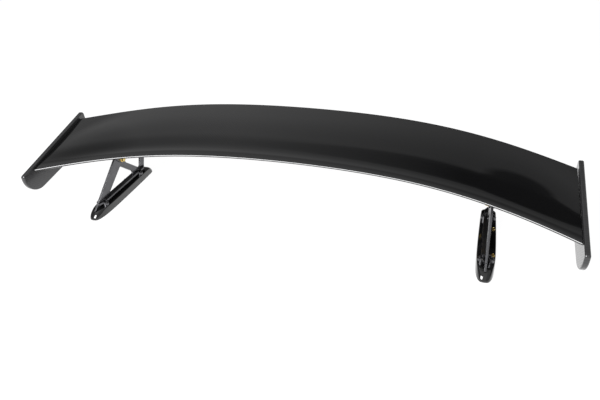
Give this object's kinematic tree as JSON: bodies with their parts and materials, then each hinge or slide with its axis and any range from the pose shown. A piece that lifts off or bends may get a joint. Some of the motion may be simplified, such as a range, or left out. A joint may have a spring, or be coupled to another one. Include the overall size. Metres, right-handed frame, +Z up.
{
  "type": "racing rear wing",
  "caption": "Swept racing rear wing: a hollow carbon blade with endplates, on two flat uprights bolted to pedestals, with an adjustable incidence.",
  "frame": {"origin": "under the middle of the bounding box, on the surface that the two gaskets stand on", "axes": "+Z up, -Y towards the front of the car, +X towards the car's left; the wing spans X"},
  "size_m": [1.526, 0.4736, 0.2139],
  "materials": {
    "carbon": "black carbon fibre cloth under a polished clear coat",
    "nylon": "machined black nylon",
    "black_steel": "black oxide steel",
    "black_anodised": "satin black anodised aluminium plate",
    "bare_alloy": "machined aluminium",
    "bronze": "turned bronze",
    "gold_zinc": "yellow zinc plated steel",
    "gloss_black": "glossy moulded black plastic",
    "rubber": "soft black foam rubber"
  },
  "bodies": {
    "supports": {"base_plate_left": "bare_alloy", "base_plate_right": "bare_alloy", "clamp_bolt_left": "gold_zinc", "clamp_bolt_right": "gold_zinc", "clamp_nut_left": "gold_zinc", "clamp_nut_right": "gold_zinc", "clamp_washer_left": "gold_zinc", "clamp_washer_right": "gold_zinc", "gasket_left": "rubber", "gasket_right": "rubber", "pedestal_bolt_left_1": "gold_zinc", "pedestal_bolt_left_2": "gold_zinc", "pedestal_bolt_right_1": "gold_zinc", "pedestal_bolt_right_2": "gold_zinc", "pedestal_left": "gloss_black", "pedestal_right": "gloss_black", "pivot_bush_left": "bronze", "pivot_bush_right": "bronze", "upright_left": "black_anodised", "upright_right": "black_anodised", "upright_screw_left_1": "black_steel", "upright_screw_left_2": "black_steel", "upright_screw_left_3": "black_steel", "upright_screw_left_4": "black_steel", "upright_screw_right_1": "black_steel", "upright_screw_right_2": "black_steel", "upright_screw_right_3": "black_steel", "upright_screw_right_4": "black_steel"},
    "wing": {"clevis_screw_left_1": "black_steel", "clevis_screw_left_2": "black_steel", "clevis_screw_right_1": "black_steel", "clevis_screw_right_2": "black_steel", "endplate_left": "carbon", "endplate_right": "carbon", "endplate_screw_left_1": "black_steel", "endplate_screw_left_2": "black_steel", "endplate_screw_right_1": "black_steel", "endplate_screw_right_2": "black_steel", "front_clevis_left": "black_anodised", "front_clevis_right": "black_anodised", "front_hardpoint_left": "bare_alloy", "front_hardpoint_right": "bare_alloy", "pivot_bolt_left": "gold_zinc", "pivot_bolt_right": "gold_zinc", "pivot_nut_left": "gold_zinc", "pivot_nut_right": "gold_zinc", "rear_hardpoint_left": "bare_alloy", "rear_hardpoint_right": "bare_alloy", "rear_slider_left": "black_anodised", "rear_slider_right": "black_anodised", "slider_screw_left_1": "black_steel", "slider_screw_left_2": "black_steel", "slider_screw_right_1": "black_steel", "slider_screw_right_2": "black_steel", "wing_end_rib_left": "nylon", "wing_end_rib_right": "nylon", "wing_front_spar": "carbon", "wing_lower_skin": "carbon", "wing_rear_spar": "carbon", "wing_upper_skin": "carbon"}
  },
  "joints": [
    {"name": "incidence", "type": "hinge", "parent": "supports", "child": "wing", "pos_m": [0, -0.04133, 0.112], "axis": [1, 0, 0], "range_deg": [-7, 7]}
  ]
}
